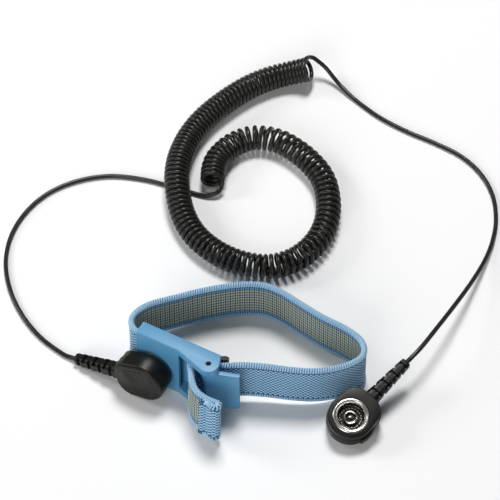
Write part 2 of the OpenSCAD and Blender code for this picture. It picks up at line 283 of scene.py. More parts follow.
def makeCord(material):
    reach, out = connector["reach"], connector["straightOut"]
    wristEnd = [cableAxis(wristPlace, x) for x in (connector["crimpX"] + 2, reach, reach + out)]
    groundEnd = [cableAxis(groundPlace, x) for x in (reach + out, reach, connector["crimpX"] + 2)]
    leadA = catmullRom(wristEnd + [Vector(p) for p in leadAPoints], 12)
    leadB = catmullRom([Vector(p) for p in leadBPoints] + groundEnd, 12)
    helix, turns = curlyPart()
    path = leadA[:-2] + helix + leadB[3:]
    easeJoin(path, len(leadA) - 2, 8, 12)
    easeJoin(path, len(leadA) - 2 + len(helix), 10, 14)
    curve = bpy.data.curves.new("curly_cable", "CURVE")
    curve.dimensions = "3D"
    curve.bevel_depth = cord["wireDiameter"] / 2 * mm
    curve.bevel_resolution = 4
    curve.use_fill_caps = True
    spline = curve.splines.new("POLY")
    spline.points.add(len(path) - 1)
    for point, place in zip(spline.points, path):
        point.co = (*(place * mm), 1)
    spline.use_smooth = True
    curve.materials.append(material)
    piece = bpy.data.objects.new("curly_cable", curve)
    bpy.context.scene.collection.objects.link(piece)
    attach(piece, "cord_set")
    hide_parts("wrist_lead", "curly_cord", "ground_lead")


# Materials

# Nickel plating on pressed brass: bright and slightly warm, its gloss a little uneven;
# the two darker copies of the same metal are painted shade, in the socket's well, on its beads and
# inside the eyelet
def nickelPlate(name, colour):
    material, tree, surface = newMaterial(name, {
        "Base Color": linearColour(colour), "Metallic": 1.0, "Roughness": 0.2})
    place = addNode(tree, "TexCoord")
    wear = addNode(tree, "TexNoise", inputs={
        "Vector": place.outputs["Object"], "Scale": 900.0, "Detail": 4.0})
    rough = addNode(tree, "MapRange", inputs={
        "Value": wear.outputs["Fac"], "To Min": 0.14, "To Max": 0.3})
    tree.links.new(rough.outputs["Result"], surface.inputs["Roughness"])
    return material


# Stainless steel strip, brushed lengthwise: fine lines along X, broad soft gloss
def brushedSteel():
    material, tree, surface = newMaterial("stainless_steel_brushed", {
        "Base Color": linearColour("#B9BBBC"), "Metallic": 1.0, "Roughness": 0.32})
    place = addNode(tree, "TexCoord")
    lines = addNode(tree, "Mapping", inputs={
        "Vector": place.outputs["Object"], "Scale": (60.0, 2500.0, 2500.0)})
    brush = addNode(tree, "TexNoise", inputs={
        "Vector": lines.outputs["Vector"], "Scale": 1.0, "Detail": 3.0})
    rough = addNode(tree, "MapRange", inputs={
        "Value": brush.outputs["Fac"], "To Min": 0.24, "To Max": 0.42})
    bump = addNode(tree, "Bump", inputs={
        "Height": brush.outputs["Fac"], "Strength": 0.15, "Distance": 0.00002})
    tree.links.new(rough.outputs["Result"], surface.inputs["Roughness"])
    tree.links.new(bump.outputs["Normal"], surface.inputs["Normal"])
    return material


# Rolled brass: yellow, a little tarnished in patches
def rolledBrass():
    material, tree, surface = newMaterial("brass_rolled", {
        "Base Color": linearColour("#B8995A"), "Metallic": 1.0, "Roughness": 0.3})
    place = addNode(tree, "TexCoord")
    tarnish = addNode(tree, "TexNoise", inputs={
        "Vector": place.outputs["Object"], "Scale": 500.0, "Detail": 5.0})
    tone = addNode(tree, "Mix", {"data_type": "RGBA"}, {
        "Factor": tarnish.outputs["Fac"], 6: linearColour("#C9A964"), 7: linearColour("#8F7440")})
    tree.links.new(tone.outputs[2], surface.inputs["Base Color"])
    return material


# Resistor lacquer: thick beige dip coat, glossy with soft waves
def resistorLacquer():
    material, tree, surface = newMaterial("resistor_lacquer_dipped", {
        "Base Color": linearColour("#C9B083"), "Roughness": 0.28})
    place = addNode(tree, "TexCoord")
    waves = addNode(tree, "TexNoise", inputs={
        "Vector": place.outputs["Object"], "Scale": 600.0, "Detail": 1.0})
    bump = addNode(tree, "Bump", inputs={
        "Height": waves.outputs["Fac"], "Strength": 0.3, "Distance": 0.0001})
    tree.links.new(bump.outputs["Normal"], surface.inputs["Normal"])
    return material


# Injection-moulded plastic (ABS, PVC, nylon): an even tone with faint flow, and a satin skin
# with very fine spark texture; the pin gets the same dull, even skin in a near-black navy, painted
# shade of the hole it sits in
def mouldedPlastic(name, deep, pale, roughLow, roughHigh, shine=0.5):
    material, tree, surface = newMaterial(name, {
        "Roughness": 0.4, "IOR": 1.53, "Specular IOR Level": shine})
    place = addNode(tree, "TexCoord")
    flow = addNode(tree, "TexNoise", inputs={
        "Vector": place.outputs["Object"], "Scale": 90.0, "Detail": 3.0})
    grain = addNode(tree, "TexNoise", inputs={
        "Vector": place.outputs["Object"], "Scale": 3500.0, "Detail": 2.0})
    tone = addNode(tree, "Mix", {"data_type": "RGBA"}, {
        "Factor": flow.outputs["Fac"], 6: linearColour(deep), 7: linearColour(pale)})
    rough = addNode(tree, "MapRange", inputs={
        "Value": grain.outputs["Fac"], "To Min": roughLow, "To Max": roughHigh})
    bump = addNode(tree, "Bump", inputs={
        "Height": grain.outputs["Fac"], "Strength": 0.12, "Distance": 0.00004})
    tree.links.new(tone.outputs[2], surface.inputs["Base Color"])
    tree.links.new(rough.outputs["Result"], surface.inputs["Roughness"])
    tree.links.new(bump.outputs["Normal"], surface.inputs["Normal"])
    return material


# Knitted yarn: textured polyester, soft sheen; light and shade are painted in, the gaps between
# the loops dark as painted shade and the loops pale as painted highlight.
# The piece's UV map counts columns of stitches and rows of loops.
def knittedYarn(name, colours, lattice, rows):
    material, tree, surface = newMaterial(name, {
        "Roughness": 0.75, "Sheen Weight": 0.25, "Sheen Roughness": 0.4, "IOR": 1.45})
    weave = addNode(tree, "UVMap", {"uv_map": "weave"})
    split = addNode(tree, "SeparateXYZ", inputs={"Vector": weave.outputs["UV"]})
    column = addNode(tree, "Math", {"operation": "MULTIPLY"}, {0: split.outputs["X"], 1: math.pi})
    row = addNode(tree, "Math", {"operation": "MULTIPLY"}, {0: split.outputs["Y"], 1: 2 * math.pi})
    acrossRow = addNode(tree, "Math", {"operation": "COSINE"}, {0: row.outputs[0]})
    if lattice == "staggered":
        alongColumn = addNode(tree, "Math", {"operation": "COSINE"}, {0: column.outputs[0]})
        gap = addNode(tree, "Math", {"operation": "MULTIPLY"}, {
            0: alongColumn.outputs[0], 1: acrossRow.outputs[0]})
    else:  # straight columns, every second one with smaller gaps
        twice = addNode(tree, "Math", {"operation": "MULTIPLY"}, {0: column.outputs[0], 1: 2.0})
        each = addNode(tree, "Math", {"operation": "COSINE"}, {0: twice.outputs[0]})
        second = addNode(tree, "Math", {"operation": "COSINE"}, {0: column.outputs[0]})
        grid = addNode(tree, "Math", {"operation": "ADD"}, {
            0: each.outputs[0], 1: acrossRow.outputs[0]})
        gap = addNode(tree, "Math", {"operation": "MULTIPLY_ADD"}, {
            0: second.outputs[0], 1: 0.28, 2: grid.outputs[0]})
    place = addNode(tree, "TexCoord")
    fibre = addNode(tree, "TexNoise", inputs={
        "Vector": place.outputs["Object"], "Scale": 2600.0, "Detail": 3.0})
    patch = addNode(tree, "TexNoise", inputs={
        "Vector": place.outputs["Object"], "Scale": 260.0, "Detail": 2.0})
    uneven = addNode(tree, "MapRange", inputs={
        "Value": fibre.outputs["Fac"], "To Min": -0.22, "To Max": 0.22})
    depth = addNode(tree, "Math", {"operation": "ADD"}, {
        0: gap.outputs[0], 1: uneven.outputs["Result"]})
    low, high = colours["range"]
    level = addNode(tree, "MapRange", inputs={
        "Value": depth.outputs[0], "From Min": low, "From Max": high})
    # painted light and shade: the loop colour is a painted highlight on the raised loops, the gap
    # colour painted shade in the gaps
    lightShadeRamp = addNode(tree, "ValToRGB", inputs={"Fac": level.outputs["Result"]})
    stops = lightShadeRamp.color_ramp.elements
    stops[0].color, stops[1].color = linearColour(colours["loop"]), linearColour(colours["gap"])
    stops[0].position, stops[1].position = 0.0, 0.86
    for at, colour in colours["between"]:
        stops.new(at).color = linearColour(colour)
    tint = addNode(tree, "Mix", {"data_type": "RGBA", "blend_type": "MULTIPLY"}, {
        "Factor": 0.35, 6: lightShadeRamp.outputs["Color"], 7: linearColour("#FFFFFF")})
    cast = addNode(tree, "Mix", {"data_type": "RGBA"}, {
        "Factor": patch.outputs["Fac"], 6: linearColour(colours["castA"]),
        7: linearColour(colours["castB"])})
    tree.links.new(cast.outputs[2], tint.inputs[7])
    finish = tint.outputs[2]
    if "margin" in colours:  # blue rows along both edges
        fromMiddle = addNode(tree, "Math", {"operation": "SUBTRACT"}, {
            0: split.outputs["Y"], 1: rows / 2})
        away = addNode(tree, "Math", {"operation": "ABSOLUTE"}, {0: fromMiddle.outputs[0]})
        isMargin = addNode(tree, "Math", {"operation": "GREATER_THAN"}, {
            0: away.outputs[0], 1: rows / 2 - colours["margin"]})
        # the margin's gap colour is painted shade too
        blue = addNode(tree, "ValToRGB", inputs={"Fac": level.outputs["Result"]})
        blueStops = blue.color_ramp.elements
        blueStops[0].color = linearColour(colours["marginLoop"])
        blueStops[1].color = linearColour(colours["marginGap"])
        blueStops[1].position = 0.8
        both = addNode(tree, "Mix", {"data_type": "RGBA"}, {
            "Factor": isMargin.outputs[0], 6: finish, 7: blue.outputs["Color"]})
        finish = both.outputs[2]
    bump = addNode(tree, "Bump", inputs={
        "Height": fibre.outputs["Fac"], "Strength": 0.4, "Distance": 0.0001})
    tree.links.new(finish, surface.inputs["Base Color"])
    tree.links.new(bump.outputs["Normal"], surface.inputs["Normal"])
    return material


# Overlock yarn along the edges: the same blue polyester, fuller, painted paler as a painted
# highlight where the edges catch the light
def edgeYarn():
    material, tree, surface = newMaterial("polyester_edge_yarn_painted_highlight", {
        "Roughness": 0.7, "Sheen Weight": 0.3, "Sheen Roughness": 0.4, "IOR": 1.45})
    place = addNode(tree, "TexCoord")
    fibre = addNode(tree, "TexNoise", inputs={
        "Vector": place.outputs["Object"], "Scale": 2200.0, "Detail": 3.0})
    # the pale blues are painted highlight on the same yarn
    tone = addNode(tree, "Mix", {"data_type": "RGBA"}, {
        "Factor": fibre.outputs["Fac"], 6: linearColour("#86BADF"), 7: linearColour("#C6E4F8")})
    bump = addNode(tree, "Bump", inputs={
        "Height": fibre.outputs["Fac"], "Strength": 0.4, "Distance": 0.0001})
    tree.links.new(tone.outputs[2], surface.inputs["Base Color"])
    tree.links.new(bump.outputs["Normal"], surface.inputs["Normal"])
    return material


# Cable jacket: extruded polyurethane, black, wet-looking gloss with slight waviness
def cableJacket():
    material, tree, surface = newMaterial("polyurethane_jacket_extruded", {
        "Base Color": linearColour("#262624"), "Roughness": 0.3, "IOR": 1.5,
        "Specular IOR Level": 0.3})
    place = addNode(tree, "TexCoord")
    dust = addNode(tree, "TexNoise", inputs={
        "Vector": place.outputs["Object"], "Scale": 700.0, "Detail": 4.0})
    rough = addNode(tree, "MapRange", inputs={
        "Value": dust.outputs["Fac"], "To Min": 0.14, "To Max": 0.3})
    tone = addNode(tree, "Mix", {"data_type": "RGBA"}, {
        "Factor": dust.outputs["Fac"], 6: linearColour("#1C1C1A"), 7: linearColour("#32322F")})
    bump = addNode(tree, "Bump", inputs={
        "Height": dust.outputs["Fac"], "Strength": 0.08, "Distance": 0.0001})
    tree.links.new(rough.outputs["Result"], surface.inputs["Roughness"])
    tree.links.new(tone.outputs[2], surface.inputs["Base Color"])
    tree.links.new(bump.outputs["Normal"], surface.inputs["Normal"])
    return material


nickel = nickelPlate("nickel_plate_pressed", "#E6E3DC")
# darker copies of the nickel: painted shade for the socket's well, the eyelet's inside and the
# beads
wellShadeNickel = nickelPlate("nickel_plate_painted_shade", "#5C5954")
beadShadeNickel = nickelPlate("nickel_plate_painted_shade_beads", "#B5B1AA")
steel = brushedSteel()
brass = rolledBrass()
lacquer = resistorLacquer()
blueAbs = mouldedPlastic("abs_blue_moulded", "#4F90B9", "#5A9CC4", 0.34, 0.52)
blackPvc = mouldedPlastic("pvc_black_moulded", "#0A0907", "#171410", 0.3, 0.5, 0.26)
blackNylon = mouldedPlastic("nylon_black_moulded", "#070707", "#101010", 0.4, 0.6, 0.3)
pinShadeNavy = mouldedPlastic("pin_painted_shade_navy", "#03060B", "#080D15", 0.6, 0.8, 0.2)
jacket = cableJacket()
# loop and gap colours hold painted highlight on the loops and painted shade in the gaps
outerKnit = knittedYarn("polyester_knit_blue", {
    "loop": "#BDE0F5", "between": [(0.4, "#86B8DA"), (0.6, "#2E5F8B")], "gap": "#021427",
    "castA": "#EEF7FF", "castB": "#CFE3F0", "range": (-0.7, 1.0),
    "margin": 1.3, "marginLoop": "#3F78A8", "marginGap": "#0B2542"}, "staggered", 12)
liningKnit = knittedYarn("conductive_knit_grey", {
    "loop": "#B3BFBC", "between": [(0.46, "#7F8A84"), (0.6, "#343B38")], "gap": "#050807",
    "castA": "#F4E6B0", "castB": "#A3B6C2", "range": (-0.6, 1.8),
    "margin": 1.75, "marginLoop": "#5E97C3", "marginGap": "#0F2F52"}, "straight", 12)
overlock = edgeYarn()
print("materials made")


# Elastic band: two knitted layers that follow one route, with rolled edges

band = {
    "width": 19.0, "thickness": 1.8, "pinch": 1.2, "pinchSpan": 4.4, "pinchAt": (14.15, 0.7),
    "column": 0.92, "row": 19 / 12,  # spacing of the stitches along and across
    "columnCells": 4, "rowCells": 6,
    "gapDepth": 0.34, "loopRise": 0.1,
    "layerInset": 0.12,  # each layer's face lies this far inside the band's surface
    # the coarse columns behind a layer: share of half the thickness, share of the width
    "backColumns": [(0.4, 0.95), (0.0, 0.93), (0.0, 0.07), (0.4, 0.05)],
    "hemLength": 5.8, "foldRadius": 1.25, "stitchAt": 2.9, "stitchPinch": 0.75,
    "stitchSpan": 1.1, "hemGap": 1.95,
    "edgeInset": 0.03,  # the part of the width that the rolled edge stands proud
}

bandLow = 3.25
bandPoints = [
    (-1, 0.2, bandLow, 0), (-8.5, 0.2, bandLow, 0), (-15.6, 0.2, bandLow, 0),
    (-20.1, 1.4, 3, 0), (-22.9, 5, 2.4, 0), (-23.2, 9.8, 1.9, 0),
    (-20.9, 15.6, 1.3, 0), (-15, 22.8, 0.7, 0), (-6.6, 32.2, 0.2, 0),
    (2.6, 40.2, 0, 0), (10.5, 44.4, 0, 0), (18.2, 45, 0, 0),
    (26.5, 43.6, 0, 0), (36.6, 41.9, 0, 0), (46.8, 41.2, 0, 0),
    (53.6, 39.6, 0, 0), (57.8, 36.2, 0.1, 0), (58.9, 31.4, 0.4, 0),
    (56.2, 25.6, 0.9, 0), (51.8, 20.4, 1.4, 0), (46.4, 16.2, 1.9, 0),
    (39.2, 12.6, 2.4, 0), (31.2, 9.3, 2.9, 0), (24.4, 6, bandLow, 0),
    (18.8, 2.7, bandLow, 0), (14.2, 0.7, bandLow, 0), (9.8, 0.4, bandLow, 0),
    (7.3, -0.5, bandLow, 0), (6.4, -2.3, bandLow, 0), (7.5, -4.4, bandLow, 0),
    (9, -6.6, 3.1, -0.4), (11, -9.3, 2.7, -0.9), (14.2, -12, 2.2, -1.3),
    (17.8, -13.1, 2.1, -1.4), (21.4, -13.5, 2.3, -1.3), (24.8, -13.2, 2.5, -1.2),
]


def bandStations():
    # the band's lower and upper edge at even steps, with the end folded back on the lining side
    middle = catmullRom([Vector(p[:3]) for p in bandPoints], 16)
    leans = [v.x for v in catmullRom([Vector((p[3], 0, 0)) for p in bandPoints], 16)]
    along = measure(middle)
    total = along[-1]

    def left(i):
        step = middle[min(i + 1, len(middle) - 1)] - middle[max(i - 1, 0)]
        return Vector((-step.y, step.x, 0)).normalized()

    up = Vector((0, 0, band["width"]))
    lows = [m + lean * left(i) for i, (m, lean) in enumerate(zip(middle, leans))]
    highs = [m + up for m in middle]
    radius = band["foldRadius"]
    turnFrom = total - radius  # the fold starts one radius before the end
    keep = [i for i, d in enumerate(along) if d < turnFrom]
    last = keep[-1]
    side, ahead = left(last), (middle[-1] - middle[last]).normalized()
    outLows, outHighs = [lows[i] for i in keep], [highs[i] for i in keep]
    for k in range(1, 12):  # the rounded fold
        a = math.pi * k / 12
        shift = ahead * (radius * math.sin(a)) - side * (radius * (1 - math.cos(a)))
        outLows.append(lows[last] + shift)
        outHighs.append(highs[last] + shift)
    for i in reversed(keep):
        back = along[last] - along[i]
        if back > band["hemLength"]:
            break
        nip = math.exp(-((back - band["stitchAt"]) / band["stitchSpan"]) ** 2)
        rest = min(1, back / band["stitchAt"])
        gap = 2 * radius * (1 - rest) + band["hemGap"] * rest - band["stitchPinch"] * nip
        outLows.append(lows[i] - left(i) * gap)
        outHighs.append(highs[i] - left(i) * gap)
    mids = [(a + b) / 2 for a, b in zip(outLows, outHighs)]
    run = measure(mids)
    cell = band["column"] / band["columnCells"]
    count = int(run[-1] / cell)
    marks = [cell * k for k in range(count + 1)]
    return resample(outLows, run, marks), resample(outHighs, run, marks), marks, run[-1]


def bandThickness(mid):
    flat = Vector((mid.x, mid.y)) - Vector(band["pinchAt"])
    squeeze = max(0, 1 - flat.length / band["pinchSpan"])
    return band["thickness"] - (band["thickness"] - band["pinch"]) * min(1, 2 * squeeze)


stationLows, stationHighs, stationMarks, bandLength = bandStations()


def stationFrame(i):
    # position, heading, way across and way out of one station
    low, high = stationLows[i], stationHighs[i]
    before, after = max(i - 2, 0), min(i + 2, len(stationLows) - 1)
    step = (stationLows[after] + stationHighs[after]
            - (stationLows[before] + stationHighs[before]))
    heading = step.normalized()
    across = (high - low).normalized()
    return low, high, heading, across, across.cross(heading).normalized()


def knitHeight(column, row, lattice):
    # how far the knit stands out at that stitch: gaps are pits, loops are bumps
    if lattice == "staggered":
        f = math.cos(math.pi * column) * math.cos(2 * math.pi * row)
    else:
        f = (math.cos(2 * math.pi * column) + math.cos(2 * math.pi * row)
             + 0.28 * math.cos(math.pi * column)) / 2.28
    return -band["gapDepth"] * max(0, f) ** 1.6 + band["loopRise"] * max(0, -f)


def makeKnit(name, side, lattice, material, replaced=()):
    # one knitted layer: a slab whose outer face is a fine grid and whose hidden face is coarse
    rows = int(band["width"] / band["row"] * band["rowCells"])
    ring = rows + 5  # four coarse columns behind, then the first column again
    last = len(stationMarks) - 1
    frames = [stationFrame(i) for i in range(last + 1)]
    bm = bmesh.new()
    uvLayer = bm.loops.layers.uv.new("weave")
    bmesh.ops.create_grid(bm, x_segments=last, y_segments=ring, size=0.5)
    for face in bm.faces:
        for loop in face.loops:
            co = loop.vert.co
            loop[uvLayer].uv = (
                stationMarks[round((co.x + 0.5) * last)] / band["column"],
                round((co.y + 0.5) * ring) / band["rowCells"])
    for vert in bm.verts:
        i, j = round((vert.co.x + 0.5) * last), round((vert.co.y + 0.5) * ring) % ring
        low, high, heading, across, out = frames[i]
        half = bandThickness((low + high) / 2) / 2
        if j <= rows:
            column, row = stationMarks[i] / band["column"], j / band["rowCells"]
            edge = min(j, rows - j) / band["rowCells"]
            offset = half - band["layerInset"] + knitHeight(column, row, lattice) * min(1, edge)
            t = band["edgeInset"] + (1 - 2 * band["edgeInset"]) * j / rows
        else:
            share, t = band["backColumns"][j - rows - 1]
            offset = share * half
        vert.co = low.lerp(high, t) + out * side * offset
    bmesh.ops.remove_doubles(bm, verts=bm.verts, dist=0.002)
    closeHoles(bm)
    piece = finishPiece(name, bm, material, "strap", smoothAngle=180)
    if replaced:
        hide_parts(*replaced)


makeKnit("band_outer_knit", 1, "staggered", outerKnit, ("wrist_band", "band_hem"))
makeKnit("band_lining", -1, "straight", liningKnit)
print(f"band made: {bandLength:.1f} mm with its folded end")


# Rolled edges: yarn wound round both edges of the band, one turn for each column

edging = {"yarnRadius": 0.36, "height": 2.3, "standOut": 0.32, "points": 12, "sides": 6}


def makeEdging(name, upper):
    bm = bmesh.new()
    turns = int(bandLength / band["column"]) - 1
    count = turns * edging["points"]
    perStation = band["column"] / band["columnCells"]
    centres, radials = [], []
    for k in range(count + 1):
        s = band["column"] * k / edging["points"]
        i = min(int(s / perStation), len(stationMarks) - 2)
        blend = min(s / perStation - i, 1)
        low, high, heading, across, out = stationFrame(i)
        nextLow, nextHigh = stationLows[i + 1], stationHighs[i + 1]
        half = bandThickness((low + high) / 2) / 2 - edging["yarnRadius"] + edging["standOut"]
        angle = 2 * math.pi * k / edging["points"]
        tall = edging["height"] / 2 - edging["yarnRadius"]
        edge = high.lerp(nextHigh, blend) if upper else low.lerp(nextLow, blend)
        inward = -across if upper else across
        centre = edge + inward * (edging["height"] / 2)
        radials.append(out * math.sin(angle) - inward * math.cos(angle))
        centres.append(centre - inward * (tall * math.cos(angle))
                       + out * (half * math.sin(angle)))
    sides = edging["sides"]
    bmesh.ops.create_grid(bm, x_segments=count, y_segments=sides, size=0.5)
    rings = []
    for k in range(count + 1):
        ahead = (centres[min(k + 1, count)] - centres[max(k - 1, 0)]).normalized()
        first = (radials[k] - ahead * radials[k].dot(ahead)).normalized()
        rings.append((first, ahead.cross(first)))
    for vert in bm.verts:
        k, j = round((vert.co.x + 0.5) * count), round((vert.co.y + 0.5) * sides)
        first, second = rings[k]
        a = 2 * math.pi * j / sides
        around = math.cos(a) * first + math.sin(a) * second
        vert.co = centres[k] + edging["yarnRadius"] * around
    bmesh.ops.remove_doubles(bm, verts=bm.verts, dist=0.001)
    closeHoles(bm)
    finishPiece(name, bm, overlock, "strap", smoothAngle=180)


makeEdging("band_edging_upper", True)
makeEdging("band_edging_lower", False)
print("edging made")


# Buckle body: two cheeks with a front and a back wall, all with softly rounded edges

buckle = {
    "length": 32.7, "height": 25.5, "cheek": 3.0, "wall": 1.5, "halfDepth": 2.85,
    "frontEnd": 1.6,
    "pinAt": (14.15, -2.75), "noseRadius": 4.0, "pinDiameter": 2.1,
    "edge": 0.45, "backEnd": 15.2, "backRamp": (13.4, 2.3),
    "cutPast": 2, "cutFar": (20, 9),  # how far the helper solids pass the walls
}


def arc(centre, radius, start, end, steps):
    # points of an arc, angles in degrees
    return [
        (centre[0] + radius * math.cos(math.radians(start + (end - start) * k / steps)),
         centre[1] + radius * math.sin(math.radians(start + (end - start) * k / steps)))
        for k in range(steps + 1)
    ]


def prism(outline, low, high):
    # an upright solid over a closed outline
    bm = bmesh.new()
    face = bm.faces.new([bm.verts.new((x, y, low)) for x, y in outline])
    top = bmesh.ops.extrude_face_region(bm, geom=[face])
    bmesh.ops.translate(bm, vec=(0, 0, high - low), verts=vertsIn(top["geom"]))
    bmesh.ops.recalc_face_normals(bm, faces=bm.faces)
    return bm


def cutter(bm, name):
    # a helper solid for a boolean, in metres
    bmesh.ops.scale(bm, vec=(mm, mm, mm), verts=bm.verts)
    mesh = bpy.data.meshes.new(name)
    bm.to_mesh(mesh)
    bm.free()
    tool = bpy.data.objects.new(name, mesh)
    bpy.context.scene.collection.objects.link(tool)
    return tool


def applyModifiers(piece, tools=()):
    # bakes the modifiers into the mesh and throws the helper solids away
    graph = bpy.context.evaluated_depsgraph_get()
    mesh = bpy.data.meshes.new_from_object(piece.evaluated_get(graph))
    old = piece.data
    piece.modifiers.clear()
    piece.data = mesh
    bpy.data.meshes.remove(old)
    for tool in tools:
        bpy.data.objects.remove(tool)


def addBoolean(piece, tool):
    cut = piece.modifiers.new("cut", "BOOLEAN")
    cut.operation, cut.object, cut.solver = "DIFFERENCE", tool, "EXACT"


def addBevel(piece, width, segments=4):
    edge = piece.modifiers.new("edges", "BEVEL")
    edge.width, edge.segments, edge.profile = width * mm, segments, 0.5
    edge.limit_method, edge.angle_limit = "ANGLE", math.radians(30)
    edge.harden_normals = False


def makeBuckle():
    half, depth, nose = buckle["length"] / 2, buckle["halfDepth"], buckle["noseRadius"]
    px, py = buckle["pinAt"]
    outline = [(-half, -depth), (buckle["frontEnd"], -depth)]
    outline += arc((px, py), nose, 242, 385, 20)
    outline += [(half, depth), (-half, depth)]
    bm = prism(outline, 0, buckle["height"])
    piece = finishPiece("buckle_body", bm, blueAbs, "strap")
    inner = depth - buckle["wall"]
    left = -half - buckle["cutPast"]
    farX, farY = buckle["cutFar"]
    rampX, rampY = buckle["backRamp"]
    room = [(left, -inner), (buckle["frontEnd"], -inner), (buckle["frontEnd"], -farY),
            (farX, -farY), (farX, farY), (buckle["backEnd"], farY), (buckle["backEnd"], rampY),
            (rampX, inner), (left, inner)]
    room = cutter(prism(room, buckle["cheek"], buckle["height"] - buckle["cheek"]), "room")
    bore = bmesh.new()
    bmesh.ops.create_cone(
        bore, cap_ends=True, segments=32, radius1=buckle["pinDiameter"] / 2,
        radius2=buckle["pinDiameter"] / 2, depth=buckle["height"] + 2 * buckle["cutPast"],
        matrix=Matrix.Translation((px, py, buckle["height"] / 2)))
    bore = cutter(bore, "bore")
    addBoolean(piece, room)
    addBevel(piece, buckle["edge"])
    applyModifiers(piece)
    addBoolean(piece, bore)
    applyModifiers(piece, (room, bore))
    smoothShade(piece.data, 32)
    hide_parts("buckle_frame")


makeBuckle()


# Cam lever: a flap that swings on the pin, with a lobe that nips the band

lever = {"gap": 0.35, "barrel": 2.2, "lobe": 1.2, "lobeOut": 1.4, "angle": 18.4,
         "flap": 11.0, "flapThickness": 1.7, "flapDrop": 0.2, "flapRoot": 2.2, "edge": 0.4,
         "toothRise": 0.45, "toothHeight": 0.9, "toothPitch": 1.9}


def makeLever():
    px, py = buckle["pinAt"]
    turn = math.radians(lever["angle"])
    thick, drop, root = lever["flapThickness"], lever["flapDrop"], lever["flapRoot"]

    def onFlap(along, off):
        # a place on the flap, counted from the pin
        return (along * math.cos(turn) - off * math.sin(turn),
                along * math.sin(turn) + off * math.cos(turn))

    outline = [onFlap(root, -drop)]
    outline += [(x, y) for x, y in arc((0, 0), lever["barrel"], 12, 60, 5)][1:]
    outline += arc((0, lever["lobeOut"]), lever["lobe"], 15, 165, 9)
    outline += arc((0, 0), lever["barrel"], 120, 285, 14)
    outline += [onFlap(root, -drop - thick)]
    tip = arc((lever["flap"], 0), thick / 2, -90, 90, 8)
    outline += [onFlap(x, y - drop - thick / 2) for x, y in tip]
    outline = [(px + x, py + y) for x, y in outline]
    low = buckle["cheek"] + lever["gap"]
    piece = finishPiece("cam_lever_flap", prism(outline, low, buckle["height"] - low), blueAbs,
                        "lever")
    addBevel(piece, lever["edge"], segments=3)
    applyModifiers(piece)
    smoothShade(piece.data, 32)
    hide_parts("cam_lever")


def makeTeeth():
    # short ribs round the barrel that grip the band
    px, py = buckle["pinAt"]
    outline = arc((px, py), lever["barrel"] + lever["toothRise"], 200, 272, 10)
    outline += arc((px, py), lever["barrel"] - 0.3, 272, 200, 4)
    low = buckle["cheek"] + lever["gap"] + lever["toothPitch"] / 2
    count = int((buckle["height"] - 2 * low) / lever["toothPitch"]) + 1
    bm = prism(outline, low, low + lever["toothHeight"])
    first = list(bm.verts) + list(bm.edges) + list(bm.faces)
    for k in range(1, count):
        copy = bmesh.ops.duplicate(bm, geom=first)["geom"]
        bmesh.ops.translate(bm, vec=(0, 0, k * lever["toothPitch"]), verts=vertsIn(copy))
    finishPiece("cam_lever_teeth", bm, blueAbs, "lever")


makeLever()
makeTeeth()
print("buckle and lever made")


# Connector boots: black moulded bodies with a socket in the mouth

boot = {
    "corners": [(11.4, 3.2), (9.7, 6.9), (6.6, 8.3)],
    "seamAt": -3.2, "seamStep": 0.22,
    "backEdge": 1.3, "mouthEdge": 0.4, "plateau": 0.84, "plateauRise": 0.14,
    "seat": 6.85, "seatDepth": 3.9, "finest": 1.1,
    "gateAt": (2.0, 3.4), "gateRadius": 1.6,
    "tabRise": 0.55, "tabSpan": (-7.1, -3.6),
}


def softCorners(outline, times):
    # cuts the corners of an open outline, again and again
    for _ in range(times):
        cut = [outline[0]]
        for a, b in zip(outline, outline[1:]):
            cut += [a.lerp(b, 0.25), a.lerp(b, 0.75)]
        outline = cut + [outline[-1]]
    return outline


def bootOutline():
    half = [Vector((boot["corners"][0][0], 0))] + [Vector(p) for p in boot["corners"]]
    half = softCorners(half, 2)
    half += [Vector(p) for p in arc((0, 0), connector["bootRadius"], 84, 180, 28)]
    fine = []
    for a, b in zip(half, half[1:]):
        parts = max(1, round((b - a).length / boot["finest"]))
        fine += [a.lerp(b, k / parts) for k in range(parts)]
    fine.append(half[-1])
    return fine + [Vector((p.x, -p.y)) for p in fine[-2:0:-1]]


def pushOut(bm, face, rise, scale=1.0):
    # extrudes one flat face along Z and returns the new face
    grown = bmesh.ops.extrude_discrete_faces(bm, faces=[face])["faces"][0]
    for vert in grown.verts:
        vert.co = (vert.co.x * scale, vert.co.y * scale, vert.co.z + rise)
    return grown


